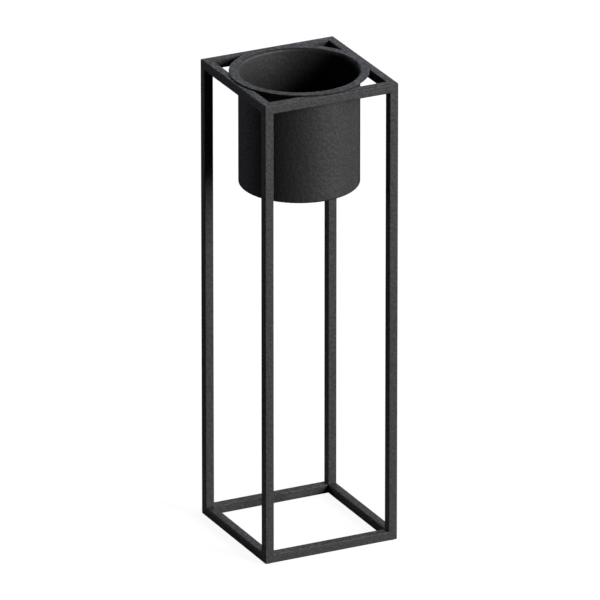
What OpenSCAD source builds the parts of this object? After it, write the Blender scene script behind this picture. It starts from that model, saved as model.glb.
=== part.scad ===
// Raised planter: a round flanged pot that hangs in the top of a tall square frame.
// Millimetres, +Z up, origin on the floor under the middle of the frame, front at -Y.
// The frame is twelve lengths of square steel tube: two mitred squares of four rails,
// and four legs that butt between them. The pot is one drawn sheet-steel shell whose
// flange rests on the four top rails, so it lifts straight out.

/* [Frame] */
// Outside width and depth of the frame
frame_w = 210; // [170:1:300]
// Height of the welded frame, without its pads
frame_h = 700; // [400:1:1000]
// Outside width of the square tube
tube_w = 13.8; // [10:0.1:20]
// Wall of the square tube
tube_wall = 1.2; // [0.8:0.1:2]
// Outside radius along the tube's long edges
tube_edge_r = 1.6; // [0.5:0.1:3]

/* [Pot] */
// Thickness of the pot's sheet
sheet_t = 1.5; // [0.8:0.1:3]
// Depth from the top of the frame to the underside of the pot
pot_depth = 168.2; // [60:0.1:300]
// Gap between the pot's wall and each top rail
pot_gap = 4.5; // [3.7:0.1:12]
// How far the flange lies over each top rail
flange_lap = 8.8; // [5:0.1:9.9]
// Radius of the bend under the flange
flange_bend_r = 3; // [0.5:0.1:3.6]
// Radius of the bend inside the pot, round its base
base_bend_r = 1.6; // [0.5:0.1:20]

/* [Pads] */
// Thickness of the pads that the frame stands on
pad_t = 1; // [0.5:0.1:4]
// Distance from the tube's faces in to a pad
pad_inset = 2.4; // [0.5:0.1:4]

/* [Hidden] */

COATED_STEEL = "#46474b";
RUBBER = "#26262a";

// Turn about Z that takes the front rail to each side
FRONT = 0;
RIGHT = 90;
BACK = 180;
LEFT = 270;

// Frame
seat_z = pad_t + frame_h;            // top of the top rails, where the flange rests
bottom_rail_z = pad_t + tube_w / 2;  // middle of the bottom rails
top_rail_z = seat_z - tube_w / 2;    // middle of the top rails
rail_y = (frame_w - tube_w) / 2;     // from the frame's axis to the middle of a rail or leg
leg_len = frame_h - 2 * tube_w;      // legs fill the height between the two squares
bore_w = tube_w - 2 * tube_wall;
bore_edge_r = max(tube_edge_r - tube_wall, 0.2);
mitre_margin = 5;                    // how far the mitre's cutting shape reaches past the tube

// Pot
opening_w = frame_w - 2 * tube_w;    // clear square between the top rails
pot_r = opening_w / 2 - pot_gap;     // outside of the pot's wall
flange_r = opening_w / 2 + flange_lap;
base_z = seat_z - pot_depth;         // underside of the pot

// Pads
pad_r = tube_w / 2 - pad_inset;

$fn = 96;

// A square with rounded corners, centred on the origin
module rounded_square(w, r) {
    square([w - 2 * r, w], center = true);
    square([w, w - 2 * r], center = true);
    for (x = [-1, 1], y = [-1, 1])
        translate([x * (w / 2 - r), y * (w / 2 - r)]) circle(r);
}

// The tube's cross-section
module tube_section() {
    difference() {
        rounded_square(tube_w, tube_edge_r);
        rounded_square(bore_w, bore_edge_r);
    }
}

// What a rail may fill, seen from above: its ends run in at 45 degrees to the mitres
module mitre_outline() {
    outer_x = frame_w / 2 + mitre_margin;
    inner_x = frame_w / 2 - tube_w - mitre_margin;
    edge_y = tube_w / 2 + mitre_margin;
    polygon([[-outer_x, -edge_y], [outer_x, -edge_y], [inner_x, edge_y], [-inner_x, edge_y]]);
}

// One rail of a mitred square, its middle at height z, on the side that turn gives
module rail(turn, z) {
    color(COATED_STEEL)
        rotate(turn) translate([0, -rail_y, z])
            intersection() {
                rotate([90, 0, 90])
                    linear_extrude(frame_w + 2 * mitre_margin, center = true) tube_section();
                linear_extrude(tube_w + 2 * mitre_margin, center = true) mitre_outline();
            }
}

// One leg, standing on the bottom rails' corner and carrying the top rails' corner
module leg(x_side, y_side) {
    color(COATED_STEEL)
        translate([x_side * rail_y, y_side * rail_y, pad_t + tube_w])
            linear_extrude(leg_len) tube_section();
}

// A quarter ring of the sheet's thickness round a bend's centre: radius r inside
module bend(r, x_side, z_side) {
    intersection() {
        difference() {
            circle(r + sheet_t);
            circle(r);
        }
        translate([x_side * (r + sheet_t) / 2, z_side * (r + sheet_t) / 2])
            square(r + sheet_t, center = true);
    }
}

// Half of the pot's cross-section: base, bend, wall, bend and flange, of one sheet
module pot_profile() {
    floor_r = pot_r - sheet_t - base_bend_r;
    wall_low_z = base_z + sheet_t + base_bend_r;
    wall_top_z = seat_z - flange_bend_r;
    flange_in_r = pot_r + flange_bend_r;
    translate([0, base_z]) square([floor_r, sheet_t]);
    translate([floor_r, wall_low_z]) bend(base_bend_r, 1, -1);
    translate([pot_r - sheet_t, wall_low_z]) square([sheet_t, wall_top_z - wall_low_z]);
    translate([flange_in_r, wall_top_z]) bend(flange_bend_r, -1, 1);
    translate([flange_in_r, seat_z]) square([flange_r - flange_in_r, sheet_t]);
}

// The pot, hung by its flange
module pot() {
    color(COATED_STEEL)
        rotate_extrude() pot_profile();
}

// One stick-on pad under a corner of the frame
module pad(x_side, y_side) {
    color(RUBBER)
        translate([x_side * rail_y, y_side * rail_y, 0])
            cylinder(h = pad_t, r = pad_r);
}

rail(FRONT, bottom_rail_z);  // bottom_rail_front
rail(RIGHT, bottom_rail_z);  // bottom_rail_right
rail(BACK, bottom_rail_z);  // bottom_rail_back
rail(LEFT, bottom_rail_z);  // bottom_rail_left
leg(-1, -1);  // leg_front_left
leg(1, -1);  // leg_front_right
leg(-1, 1);  // leg_back_left
leg(1, 1);  // leg_back_right
rail(FRONT, top_rail_z);  // top_rail_front
rail(RIGHT, top_rail_z);  // top_rail_right
rail(BACK, top_rail_z);  // top_rail_back
rail(LEFT, top_rail_z);  // top_rail_left
pot();
pad(-1, -1);  // pad_front_left
pad(1, -1);  // pad_front_right
pad(-1, 1);  // pad_back_left
pad(1, 1);  // pad_back_right
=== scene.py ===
import math

import bmesh
import bpy
from bpy.props import FloatProperty, FloatVectorProperty, IntProperty, PointerProperty
from bpy.types import Operator, Panel, PropertyGroup
from mathutils import Matrix, Vector


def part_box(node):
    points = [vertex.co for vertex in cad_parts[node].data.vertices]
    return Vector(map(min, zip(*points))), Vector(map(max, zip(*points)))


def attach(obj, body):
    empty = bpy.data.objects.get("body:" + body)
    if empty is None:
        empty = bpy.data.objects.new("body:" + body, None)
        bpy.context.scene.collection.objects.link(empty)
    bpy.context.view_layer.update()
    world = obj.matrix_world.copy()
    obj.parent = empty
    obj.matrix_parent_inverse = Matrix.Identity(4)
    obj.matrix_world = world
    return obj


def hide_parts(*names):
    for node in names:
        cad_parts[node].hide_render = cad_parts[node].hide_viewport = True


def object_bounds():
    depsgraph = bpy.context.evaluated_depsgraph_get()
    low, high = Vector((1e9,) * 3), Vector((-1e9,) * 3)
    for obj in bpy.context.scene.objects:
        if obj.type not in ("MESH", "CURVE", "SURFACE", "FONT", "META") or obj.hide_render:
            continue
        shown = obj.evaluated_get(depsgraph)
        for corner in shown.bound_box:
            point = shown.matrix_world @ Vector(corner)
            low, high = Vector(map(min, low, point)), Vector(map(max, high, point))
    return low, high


bl_info = {
    "name": "Raised Planter",
    "version": (1, 0, 0),
    "blender": (4, 5, 0),
    "location": "3D View > Sidebar > Planter",
    "description": "A flanged pot hung in the top of a tall stand of welded square tube, powder-coated black",
    "category": "Object",
}

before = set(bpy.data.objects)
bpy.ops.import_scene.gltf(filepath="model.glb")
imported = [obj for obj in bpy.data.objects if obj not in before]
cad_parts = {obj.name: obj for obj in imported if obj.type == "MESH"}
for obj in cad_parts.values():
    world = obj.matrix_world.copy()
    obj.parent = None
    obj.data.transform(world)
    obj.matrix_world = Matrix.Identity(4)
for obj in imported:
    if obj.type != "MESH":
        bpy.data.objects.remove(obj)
CAD_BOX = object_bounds()

MM = 0.001
NEAR = 1e-6                               # two places closer than this are one

# The frame's own measures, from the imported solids
RAIL_LOW, RAIL_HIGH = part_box("top_rail_front")
LEG_LOW, LEG_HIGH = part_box("leg_front_left")
PAD_LOW, PAD_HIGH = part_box("pad_front_left")
POT_LOW, POT_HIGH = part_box("pot")
TUBE_W = RAIL_HIGH.z - RAIL_LOW.z
HALF_W = RAIL_HIGH.x                      # from the stand's axis to the outside of the tube
INNER_W = HALF_W - TUBE_W                 # from the stand's axis to the inside of the tube
TOP_RAIL_Z = RAIL_LOW.z + TUBE_W / 2
BOTTOM_RAIL_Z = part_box("bottom_rail_front")[0].z + TUBE_W / 2
SEAT_Z = RAIL_HIGH.z                      # top of the top rails, where the flange rests
FLANGE_R = POT_HIGH.x
SHEET_T = POT_HIGH.z - SEAT_Z             # thickness of the pot's sheet
WELD_SEAM = 0.1 * MM                      # how far a rail's ground weld reaches up or down a leg

SMOOTH_ANGLE = math.radians(40)           # faces that meet at less than this are shaded as one curve
FLAT_WEIGHT = 100                         # lets the flats decide the shading where a rounded edge ends
LEVEL = 0.9                               # a face whose normal's z is past this lies level
UPRIGHT = 0.1                             # a face whose normal's z is within this stands upright
RIM_STEPS = 3                             # facets across the smallest rounded edges
PAD_STEPS = 48                            # facets round a pad

FLOOR_W = 60                              # width of the floor, in metres
PALE_FLOOR_R = 0.3                        # radius of its paler disc under the planter, in metres
PALE_FLOOR_BLUR = 0.01                    # how far that disc's edge fades in and out, in metres
FLOOR_WHITE = 0.85                        # share of the visible floor that glows plain white
FLOOR_GLOW = 1.1                          # strength of that glow; the rest takes light and shadow
SENSOR_W = 36                             # width of the camera's sensor, in millimetres
VIEW_END = 100                            # how far the camera sees, in metres

# Quarter turns that take the front rail, or the front left leg, round to each side
RAIL_TURNS = {"front": 0, "right": 1, "back": 2, "left": 3}
LEG_TURNS = {"front_left": 0, "front_right": 1, "back_right": 2, "back_left": 3}


def linear(hex_colour):
    """An sRGB hex colour as the linear red, green, blue and alpha that a shader takes."""
    values = [int(hex_colour[i:i + 2], 16) / 255 for i in (1, 3, 5)]
    return [v / 12.92 if v <= 0.04045 else ((v + 0.055) / 1.055) ** 2.4 for v in values] + [1.0]


def length(name, description, default, low, high):
    """A length property, in metres."""
    return FloatProperty(name=name, description=description, default=default, min=low, max=high,
                         subtype="DISTANCE", unit="LENGTH", precision=5)


def colour(name, description, default):
    """A colour property whose default is an sRGB hex colour."""
    return FloatVectorProperty(name=name, description=description, default=linear(default),
                               size=4, min=0, max=1, subtype="COLOR")


class PlanterShape(PropertyGroup):
    """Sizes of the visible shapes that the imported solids' boxes don't give."""
    tube_edge: length("Tube edge radius", "Outside radius along the square tube's long edges",
                      1.6 * MM, 0.5 * MM, 3 * MM)
    wall_gap: length("Wall gap", "Gap between the pot's wall and each top rail",
                     4.5 * MM, 3 * MM, 12 * MM)
    flange_bend: length("Flange bend", "Radius under the flange, where it turns out of the wall",
                        3 * MM, 0.5 * MM, 3.6 * MM)
    base_bend: length("Base bend", "Outside radius of the bend round the pot's base",
                      3.1 * MM, 1 * MM, 20 * MM)
    rim_edge: length("Rim edge", "Radius that the flange's cut edge is dressed to",
                     0.45 * MM, 0.1 * MM, 0.7 * MM)
    pad_edge: length("Pad edge", "Radius round the foot of each pad", 0.3 * MM, 0.1 * MM, 0.8 * MM)
    edge_steps: IntProperty(name="Edge steps", description="Facets across each rounded edge",
                            default=6, min=2, max=12)
    wall_steps: IntProperty(name="Wall steps", description="Facets round the pot",
                            default=192, min=48, max=256)


class PlanterFinish(PropertyGroup):
    """Colours and grain of the coat and the rubber."""
    tube_light: colour("Tube, light", "Coat on the tube where it lies a little thin", "#3c3c3c")
    tube_dark: colour("Tube, dark", "Coat on the tube where it lies a little thick", "#2e2e2e")
    sheet_light: colour("Pot, light", "Coat on the pot where it lies a little thin", "#343434")
    sheet_dark: colour("Pot, dark", "Coat on the pot where it lies a little thick", "#272727")
    rubber: colour("Rubber", "The pads that the stand rests on", "#232325")
    grain: length("Coat grain", "Width of one grain of the cured powder as it is drawn",
                  4.4 * MM, 0.3 * MM, 8 * MM)
    skin: length("Coat skin", "Width of the ripples on each grain", 0.5 * MM, 0.1 * MM, 2 * MM)


class PlanterStage(PropertyGroup):
    """Where the camera stands, what it aims at, and its lens."""
    azimuth: FloatProperty(name="Azimuth", description="Turn of the camera from the front",
                           default=math.radians(-26.125), subtype="ANGLE", unit="ROTATION")
    elevation: FloatProperty(name="Elevation", description="Height of the camera as an angle",
                             default=math.radians(21.982), subtype="ANGLE", unit="ROTATION")
    distance: length("Distance", "From the camera to the middle of the planter", 18.1, 1, 50)
    lens: FloatProperty(name="Lens", description="Focal length of the camera", default=761.45,
                        min=50, max=2000, subtype="DISTANCE_CAMERA", unit="CAMERA")
    offset: length("Offset", "How far the camera aims to the right of the axis", 1.1 * MM, -0.1, 0.1)


# Modelling helpers

def pick_edges(piece, test):
    """Selects only the edges of the piece in edit mode that pass the test."""
    bpy.ops.mesh.select_mode(type="EDGE")
    bpy.ops.mesh.select_all(action="DESELECT")
    mesh = bmesh.from_edit_mesh(piece.data)
    for edge in mesh.edges:
        if test(edge):
            edge.select_set(True)
    bmesh.update_edit_mesh(piece.data)


def pick_faces(piece, test):
    """Selects only the faces of the piece in edit mode that pass the test."""
    bpy.ops.mesh.select_mode(type="FACE")
    bpy.ops.mesh.select_all(action="DESELECT")
    mesh = bmesh.from_edit_mesh(piece.data)
    for face in mesh.faces:
        if test(face):
            face.select_set(True)
    bmesh.update_edit_mesh(piece.data)


def middle(face):
    """The middle of the face."""
    return face.calc_center_median()


def is_flat(edge):
    """True for an edge between two faces that lie in one plane."""
    return abs(edge.calc_face_angle_signed(0)) < math.radians(1)


def is_square(edge):
    """True for an outside edge where two faces meet at about a right angle."""
    return edge.calc_face_angle_signed(0) > math.radians(60)


def lies_at(edge, z=None, radius=None):
    """True where both ends of the edge lie at the height and radius, so far as each is given."""
    return all((z is None or abs(end.co.z - z) < NEAR) and
               (radius is None or abs(end.co.xy.length - radius) < NEAR) for end in edge.verts)


def finish_piece(piece, name, material, body, nodes):
    """Smooths the rounded edges, keeps the flats flat, and gives the piece its place in the frame."""
    bpy.ops.object.mode_set(mode="OBJECT")
    piece.name = name
    piece.data.name = name
    piece.data.materials.clear()
    piece.data.materials.append(material)
    select_only(piece)
    bpy.ops.object.shade_smooth_by_angle(angle=SMOOTH_ANGLE)
    bpy.ops.object.modifier_add(type="WEIGHTED_NORMAL")
    piece.modifiers[-1].weight = FLAT_WEIGHT
    piece.modifiers[-1].keep_sharp = True
    bpy.ops.object.modifier_apply(modifier=piece.modifiers[-1].name)
    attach(piece, body)
    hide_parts(*nodes)


def select_only(piece):
    """Selects the piece and nothing else, and makes it the active object."""
    bpy.ops.object.select_all(action="DESELECT")
    piece.select_set(True)
    bpy.context.view_layer.objects.active = piece


def copy_of(piece, matrix):
    """A copy of the piece with its own mesh, moved by the matrix."""
    copy = piece.copy()
    copy.data = piece.data.copy()
    copy.data.transform(matrix)
    bpy.context.scene.collection.objects.link(copy)
    return copy


def quarter_turns(count):
    """That many quarter turns about the stand's axis."""
    return Matrix.Rotation(count * math.pi / 2, 4, "Z")


# Materials

def add_node(material, kind, values=None, links=None, **settings):
    """Adds a node with its settings, its sockets' values, and the outputs that feed its sockets."""
    tree = material.node_tree
    node = tree.nodes.new(kind)
    for name, value in settings.items():
        setattr(node, name, value)
    for socket, value in (values or {}).items():
        node.inputs[socket].default_value = value
    for socket, output in (links or {}).items():
        tree.links.new(output, node.inputs[socket])
    return node


def new_material(name):
    """A material with no nodes yet."""
    material = bpy.data.materials.new(name)
    material.use_nodes = True
    material.node_tree.nodes.clear()
    return material


def black_powder_coat(name, light, dark):
    """Fine-textured black polyester powder coat, sprayed dry on steel and baked.

    The powder melts into a skin of small rounded grains, so it is matt, with no clear
    highlight: each grain catches the light on one side, and the coat looks sanded. The real
    grains are about half a millimetre wide, and are drawn as coarse as they need to show.
    """
    finish = bpy.context.scene.planter_finish
    coat = new_material(name)
    place = add_node(coat, "ShaderNodeTexCoord")
    grain = add_node(coat, "ShaderNodeTexNoise",
                     {"Scale": 1 / finish.grain, "Detail": 0.5, "Roughness": 0.5},
                     {"Vector": place.outputs["Object"]})
    skin = add_node(coat, "ShaderNodeTexNoise",
                    {"Scale": 1 / finish.skin, "Detail": 2.0, "Roughness": 0.6},
                    {"Vector": place.outputs["Object"]})
    tone = add_node(coat, "ShaderNodeMapRange", {"From Min": 0.35, "From Max": 0.7},
                    {"Value": grain.outputs["Fac"]})
    shade = add_node(coat, "ShaderNodeMix", {"A": dark, "B": light},
                     {"Factor": tone.outputs["Result"]}, data_type="RGBA")
    gloss = add_node(coat, "ShaderNodeMapRange",
                     {"From Min": 0.3, "From Max": 0.7, "To Min": 0.68, "To Max": 0.54},
                     {"Value": grain.outputs["Fac"]})
    fine = add_node(coat, "ShaderNodeBump", {"Strength": 0.5, "Distance": 0.06 * MM},
                    {"Height": skin.outputs["Fac"]})
    coarse = add_node(coat, "ShaderNodeBump", {"Strength": 1.0, "Distance": 0.45 * MM},
                      {"Height": grain.outputs["Fac"], "Normal": fine.outputs["Normal"]})
    shader = add_node(coat, "ShaderNodeBsdfPrincipled", {"IOR": 1.5, "Metallic": 0.0},
                      {"Base Color": shade.outputs["Result"], "Roughness": gloss.outputs["Result"],
                       "Normal": coarse.outputs["Normal"]})
    add_node(coat, "ShaderNodeOutputMaterial", links={"Surface": shader.outputs["BSDF"]})
    return coat


def tube_coat(name):
    """The coat as it lies on the stand's tube."""
    finish = bpy.context.scene.planter_finish
    return black_powder_coat(name, finish.tube_light, finish.tube_dark)


def sheet_coat(name):
    """The coat as it lies on the pot's sheet, where it is a little darker."""
    finish = bpy.context.scene.planter_finish
    return black_powder_coat(name, finish.sheet_light, finish.sheet_dark)


def moulded_rubber(name):
    """Black moulded rubber: darker and a little smoother than the coat, with a soft sheen."""
    rubber = new_material(name)
    place = add_node(rubber, "ShaderNodeTexCoord")
    skin = add_node(rubber, "ShaderNodeTexNoise", {"Scale": 1 / (0.4 * MM), "Detail": 2.0},
                    {"Vector": place.outputs["Object"]})
    gloss = add_node(rubber, "ShaderNodeMapRange", {"To Min": 0.5, "To Max": 0.65},
                     {"Value": skin.outputs["Fac"]})
    bump = add_node(rubber, "ShaderNodeBump", {"Strength": 0.3, "Distance": 0.05 * MM},
                    {"Height": skin.outputs["Fac"]})
    shader = add_node(rubber, "ShaderNodeBsdfPrincipled",
                      {"Base Color": bpy.context.scene.planter_finish.rubber, "IOR": 1.52},
                      {"Roughness": gloss.outputs["Result"], "Normal": bump.outputs["Normal"]})
    add_node(rubber, "ShaderNodeOutputMaterial", links={"Surface": shader.outputs["BSDF"]})
    return rubber


def shared(name, make):
    """The material of that name, made the first time it is asked for."""
    return bpy.data.materials.get(name) or make(name)


# Pieces

def bisect(point, normal, **cuts):
    """Cuts the whole mesh in edit mode with the plane."""
    bpy.ops.mesh.select_all(action="SELECT")
    bpy.ops.mesh.bisect(plane_co=point, plane_no=normal, threshold=NEAR, **cuts)


def round_selected(radius, steps):
    """Rounds the selected edges in edit mode."""
    bpy.ops.mesh.bevel(offset=radius, segments=steps, profile=0.5, affect="EDGES")


def corner_ring():
    """A square ring of tube about the height zero, with a stub of each leg below its corners.

    It starts as a plate: a grid of cuts marks the corners, the middle is bridged through,
    and the corners' undersides are drawn down into stubs. Each convex edge is then rounded
    at once, so the tubes' rounded edges meet as they do on tube that is welded and ground flush.
    """
    shape = bpy.context.scene.planter_shape
    bpy.ops.object.select_all(action="DESELECT")
    bpy.ops.mesh.primitive_cube_add(size=1, scale=(2 * HALF_W, 2 * HALF_W, TUBE_W))
    ring = bpy.context.object
    bpy.ops.object.transform_apply(location=True, rotation=True, scale=True)
    bpy.ops.object.mode_set(mode="EDIT")
    for x, y in ((1, 0), (-1, 0), (0, 1), (0, -1)):
        bisect((x * INNER_W, y * INNER_W, 0), (x, y, 0))
    pick_faces(ring, lambda face: abs(face.normal.z) > LEVEL and middle(face).xy.length < NEAR)
    bpy.ops.mesh.bridge_edge_loops()
    pick_faces(ring, lambda face: face.normal.z < -LEVEL and
               min(abs(middle(face).x), abs(middle(face).y)) > INNER_W)
    bpy.ops.mesh.extrude_region_move(TRANSFORM_OT_translate={"value": (0, 0, -TUBE_W)})
    pick_edges(ring, lambda edge: is_flat(edge) and abs(edge.link_faces[0].normal.z) < UPRIGHT)
    bpy.ops.mesh.dissolve_edges(use_verts=True)
    stub_end = -TUBE_W / 2 - TUBE_W
    pick_edges(ring, lambda edge: is_square(edge) and not lies_at(edge, z=stub_end))
    round_selected(shape.tube_edge, shape.edge_steps)
    return ring


def front_rail():
    """The front rail about the height zero: a quarter of the corner ring, cut off at its mitres.

    The stubs are cut off a hair below the rail, where the legs take over.
    """
    rail = corner_ring()
    bisect((0, 0, -TUBE_W / 2 - WELD_SEAM), (0, 0, -1), use_fill=True, clear_outer=True)
    for x in (1, -1):
        bisect((0, 0, 0), (x, 1, 0), use_fill=True, clear_outer=True)
    bpy.ops.object.mode_set(mode="OBJECT")
    return rail


def front_left_leg():
    """The front left leg: a length of tube with its four long edges rounded."""
    shape = bpy.context.scene.planter_shape
    low = LEG_LOW + Vector((0, 0, WELD_SEAM))
    high = LEG_HIGH - Vector((0, 0, WELD_SEAM))
    bpy.ops.object.select_all(action="DESELECT")
    bpy.ops.mesh.primitive_cube_add(size=1, location=(low + high) / 2, scale=high - low)
    leg = bpy.context.object
    bpy.ops.object.transform_apply(location=True, rotation=True, scale=True)
    bpy.ops.object.mode_set(mode="EDIT")
    pick_edges(leg, lambda edge: abs(edge.verts[0].co.z - edge.verts[1].co.z) > TUBE_W)
    round_selected(shape.tube_edge, shape.edge_steps)
    bpy.ops.object.mode_set(mode="OBJECT")
    return leg


class PLANTER_OT_rails(Operator):
    """Make the eight rails: a mitred square at the foot of the stand and one at its top"""
    bl_idname = "planter.rails"
    bl_label = "Rails"

    def execute(self, context):
        model = front_rail()
        upside_down = Matrix.Rotation(math.pi, 4, "Y")
        levels = {"bottom_rail": Matrix.Translation((0, 0, BOTTOM_RAIL_Z)) @ upside_down,
                  "top_rail": Matrix.Translation((0, 0, TOP_RAIL_Z))}
        for level, placed in levels.items():
            for side, turns in RAIL_TURNS.items():
                node = f"{level}_{side}"
                rail = copy_of(model, quarter_turns(turns) @ placed)
                finish_piece(rail, f"{node}_tube", shared("black_powder_coat_on_tube", tube_coat),
                             "stand", [node])
        bpy.data.objects.remove(model)
        return {"FINISHED"}


class PLANTER_OT_legs(Operator):
    """Make the four legs that stand between the two squares"""
    bl_idname = "planter.legs"
    bl_label = "Legs"

    def execute(self, context):
        model = front_left_leg()
        for place, turns in LEG_TURNS.items():
            node = f"leg_{place}"
            leg = copy_of(model, quarter_turns(turns))
            finish_piece(leg, f"{node}_tube", shared("black_powder_coat_on_tube", tube_coat),
                         "stand", [node])
        bpy.data.objects.remove(model)
        return {"FINISHED"}


class PLANTER_OT_pot(Operator):
    """Make the pot: one drawn sheet-steel shell, from its base up the wall and out to its flange"""
    bl_idname = "planter.pot"
    bl_label = "Pot"

    def execute(self, context):
        shape = context.scene.planter_shape
        wall_r = INNER_W - shape.wall_gap
        bpy.ops.object.select_all(action="DESELECT")
        bpy.ops.mesh.primitive_cylinder_add(vertices=shape.wall_steps, radius=wall_r,
                                            depth=SEAT_Z - POT_LOW.z,
                                            location=(0, 0, (SEAT_Z + POT_LOW.z) / 2))
        pot = context.object
        bpy.ops.object.transform_apply(location=True, rotation=True, scale=True)
        bpy.ops.object.mode_set(mode="EDIT")
        pick_faces(pot, lambda face: face.normal.z > LEVEL)
        bpy.ops.mesh.delete(type="ONLY_FACE")
        pick_edges(pot, lambda edge: lies_at(edge, z=SEAT_Z))
        bpy.ops.mesh.extrude_edges_move()
        bpy.ops.transform.resize(value=(FLANGE_R / wall_r, FLANGE_R / wall_r, 1),
                                 center_override=(0, 0, SEAT_Z))
        for z, radius in ((SEAT_Z, shape.flange_bend), (POT_LOW.z, shape.base_bend)):
            pick_edges(pot, lambda edge: lies_at(edge, z=z, radius=wall_r))
            round_selected(radius, 2 * shape.edge_steps)
        bpy.ops.object.mode_set(mode="OBJECT")
        bpy.ops.object.modifier_add(type="SOLIDIFY")
        pot.modifiers[-1].thickness = SHEET_T
        pot.modifiers[-1].offset = -1
        pot.modifiers[-1].use_even_offset = True
        bpy.ops.object.modifier_apply(modifier=pot.modifiers[-1].name)
        bpy.ops.object.mode_set(mode="EDIT")
        pick_edges(pot, lambda edge: lies_at(edge, radius=FLANGE_R) and is_square(edge))
        round_selected(shape.rim_edge, RIM_STEPS)
        finish_piece(pot, "pot_shell", shared("black_powder_coat_on_sheet", sheet_coat),
                     "pot", ["pot"])
        return {"FINISHED"}


class PLANTER_OT_pads(Operator):
    """Make the four stick-on pads under the stand's corners"""
    bl_idname = "planter.pads"
    bl_label = "Pads"

    def execute(self, context):
        shape = context.scene.planter_shape
        size = PAD_HIGH - PAD_LOW
        bpy.ops.object.select_all(action="DESELECT")
        bpy.ops.mesh.primitive_cylinder_add(vertices=PAD_STEPS, radius=size.x / 2, depth=size.z,
                                            location=(PAD_LOW + PAD_HIGH) / 2)
        model = context.object
        bpy.ops.object.transform_apply(location=True, rotation=True, scale=True)
        bpy.ops.object.mode_set(mode="EDIT")
        pick_edges(model, lambda edge: lies_at(edge, z=PAD_LOW.z))
        round_selected(shape.pad_edge, RIM_STEPS)
        bpy.ops.object.mode_set(mode="OBJECT")
        for place, turns in LEG_TURNS.items():
            node = f"pad_{place}"
            pad = copy_of(model, quarter_turns(turns))
            finish_piece(pad, f"{node}_rubber", shared("moulded_rubber", moulded_rubber),
                         "stand", [node])
        bpy.data.objects.remove(model)
        return {"FINISHED"}


# Stage

def soft_box(name, azimuth, elevation, distance, width, height, strength, tint="#ffffff"):
    """A softbox that faces the planter's middle and isn't seen by the camera.

    Its azimuth from the front and its elevation are in degrees, its distance and size in
    metres, and its strength in watts.
    """
    target = Vector((0, 0, SEAT_Z / 2))
    turn, rise = math.radians(azimuth), math.radians(elevation)
    towards = Vector((math.sin(turn) * math.cos(rise), -math.cos(turn) * math.cos(rise), math.sin(rise)))
    lamp = bpy.data.lights.new(name, "AREA")
    lamp.shape = "RECTANGLE"
    lamp.size = width
    lamp.size_y = height
    lamp.energy = strength
    lamp.color = linear(tint)[:3]
    holder = bpy.data.objects.new(name, lamp)
    holder.location = target + towards * distance
    holder.rotation_euler = towards.to_track_quat("Z", "Y").to_euler()
    holder.visible_camera = False
    bpy.context.scene.collection.objects.link(holder)


def shows_background(material):
    """A factor of 1 for the rays that see the white background, and 0 for those that light the planter.

    The camera sees it, and so do clear glass and sharp reflections. The blurred reflections
    of a matt coat don't, because a white room in them would lift the black to grey.
    """
    path = add_node(material, "ShaderNodeLightPath")
    sharp = add_node(material, "ShaderNodeMath", operation="MINIMUM",
                     links={0: path.outputs["Is Glossy Ray"], 1: path.outputs["Is Singular Ray"]})
    clear = add_node(material, "ShaderNodeMath", operation="MAXIMUM",
                     links={0: path.outputs["Is Camera Ray"], 1: path.outputs["Is Transmission Ray"]})
    either = add_node(material, "ShaderNodeMath", operation="MAXIMUM",
                      links={0: clear.outputs["Value"], 1: sharp.outputs["Value"]})
    return either.outputs["Value"]


def studio_floor():
    """A white floor that takes the planter's shadow and runs out into the white background.

    For the light that it throws back at the planter it is a grey disc close by and a darker
    grey beyond, because a white floor would lift the coat's shaded faces.
    """
    bpy.ops.object.select_all(action="DESELECT")
    bpy.ops.mesh.primitive_plane_add(size=FLOOR_W)
    floor = bpy.context.object
    floor.name = "studio_floor"
    paint = new_material("studio_floor_paint")
    place = add_node(paint, "ShaderNodeTexCoord")
    reach = add_node(paint, "ShaderNodeVectorMath", operation="LENGTH",
                     links={0: place.outputs["Object"]})
    edge = add_node(paint, "ShaderNodeMapRange",
                    {"From Min": PALE_FLOOR_R - PALE_FLOOR_BLUR,
                     "From Max": PALE_FLOOR_R + PALE_FLOOR_BLUR},
                    {"Value": reach.outputs["Value"]})
    tone = add_node(paint, "ShaderNodeMix", {"A": linear("#929292"), "B": linear("#404040")},
                    {"Factor": edge.outputs["Result"]}, data_type="RGBA")
    matt = add_node(paint, "ShaderNodeBsdfDiffuse", links={"Color": tone.outputs["Result"]})
    lit = add_node(paint, "ShaderNodeBsdfDiffuse", {"Color": linear("#ffffff")})
    white = add_node(paint, "ShaderNodeEmission", {"Color": linear("#ffffff"), "Strength": FLOOR_GLOW})
    pale = add_node(paint, "ShaderNodeMixShader", {"Fac": FLOOR_WHITE},
                    {1: lit.outputs["BSDF"], 2: white.outputs["Emission"]})
    mix = add_node(paint, "ShaderNodeMixShader",
                   links={"Fac": shows_background(paint), 1: matt.outputs["BSDF"],
                          2: pale.outputs["Shader"]})
    add_node(paint, "ShaderNodeOutputMaterial", links={"Surface": mix.outputs["Shader"]})
    floor.data.materials.append(paint)


def studio_world():
    """A white background that throws no light on the planter's matt coat."""
    world = bpy.data.worlds.new("studio")
    world.use_nodes = True
    tree = world.node_tree
    tree.nodes.clear()
    bpy.context.scene.world = world
    sky = add_node(world, "ShaderNodeBackground", {"Color": linear("#ffffff")},
                   {"Strength": shows_background(world)})
    add_node(world, "ShaderNodeOutputWorld", links={"Surface": sky.outputs["Background"]})


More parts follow.
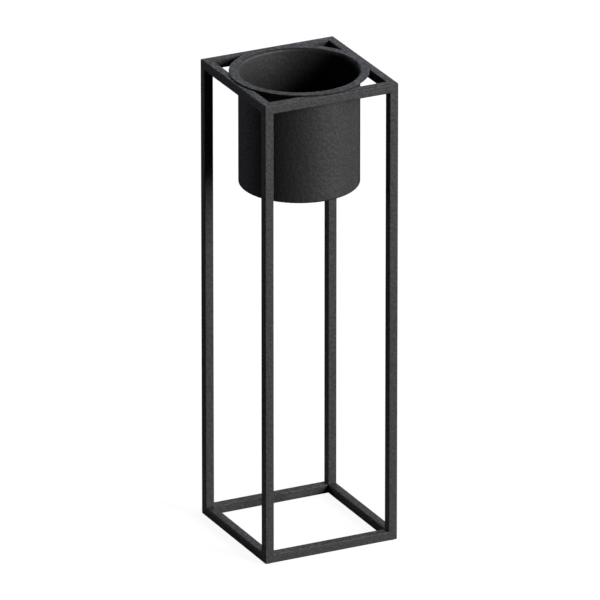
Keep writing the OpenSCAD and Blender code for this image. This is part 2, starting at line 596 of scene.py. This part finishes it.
class PLANTER_OT_stage(Operator):
    """Set up the floor, the studio light and the camera"""
    bl_idname = "planter.stage"
    bl_label = "Stage"

    def execute(self, context):
        stage = context.scene.planter_stage
        studio_floor()
        studio_world()
        soft_box("key_light", azimuth=75, elevation=22, distance=3, width=3.3, height=2.3, strength=74)
        soft_box("front_light", azimuth=30, elevation=18, distance=6, width=1.6, height=3.2,
                 strength=329)
        soft_box("back_light", azimuth=152, elevation=24, distance=3, width=1.0, height=0.4,
                 strength=10.2, tint="#eef2ff")
        soft_box("rim_light", azimuth=180, elevation=24, distance=3, width=1.0, height=0.4,
                 strength=4.2, tint="#eef2ff")
        soft_box("low_light", azimuth=225, elevation=6, distance=3, width=1.2, height=0.6,
                 strength=9.4, tint="#f2f5ff")
        low, high = CAD_BOX
        aim = Vector(((low[0] + high[0]) / 2, (low[1] + high[1]) / 2, (low[2] + high[2]) / 2))
        right = Vector((math.cos(stage.azimuth), math.sin(stage.azimuth), 0))
        back = Vector((math.sin(stage.azimuth) * math.cos(stage.elevation),
                       -math.cos(stage.azimuth) * math.cos(stage.elevation), math.sin(stage.elevation)))
        eye = bpy.data.cameras.new("camera")
        eye.lens = stage.lens
        eye.sensor_width = SENSOR_W
        eye.clip_end = VIEW_END
        camera = bpy.data.objects.new("camera", eye)
        camera.location = aim + right * stage.offset + back * stage.distance
        camera.rotation_euler = back.to_track_quat("Z", "Y").to_euler()
        context.scene.collection.objects.link(camera)
        context.scene.camera = camera
        context.scene.view_settings.view_transform = "Standard"
        return {"FINISHED"}


class PLANTER_PT_panel(Panel):
    """Lists the planter's settings and the steps that build it"""
    bl_idname = "PLANTER_PT_panel"
    bl_label = "Raised Planter"
    bl_space_type = "VIEW_3D"
    bl_region_type = "UI"
    bl_category = "Planter"

    def draw(self, context):
        scene = context.scene
        for settings in (scene.planter_shape, scene.planter_finish, scene.planter_stage):
            for name in settings.__annotations__:
                self.layout.prop(settings, name)
        for step in STEPS:
            self.layout.operator(step.bl_idname)


SETTINGS = {"planter_shape": PlanterShape, "planter_finish": PlanterFinish,
            "planter_stage": PlanterStage}
STEPS = (PLANTER_OT_rails, PLANTER_OT_legs, PLANTER_OT_pot, PLANTER_OT_pads, PLANTER_OT_stage)


def register():
    """Adds the classes, and the settings to the scene."""
    for cls in (*SETTINGS.values(), *STEPS, PLANTER_PT_panel):
        bpy.utils.register_class(cls)
    for name, group in SETTINGS.items():
        setattr(bpy.types.Scene, name, PointerProperty(type=group))


def unregister():
    """Takes the settings and the classes away again."""
    for name in SETTINGS:
        delattr(bpy.types.Scene, name)
    for cls in reversed((*SETTINGS.values(), *STEPS, PLANTER_PT_panel)):
        bpy.utils.unregister_class(cls)


def main():
    """Builds the planter and its stage."""
    register()
    bpy.ops.planter.rails()
    bpy.ops.planter.legs()
    bpy.ops.planter.pot()
    bpy.ops.planter.pads()
    bpy.ops.planter.stage()


if __name__ == "__main__":
    main()
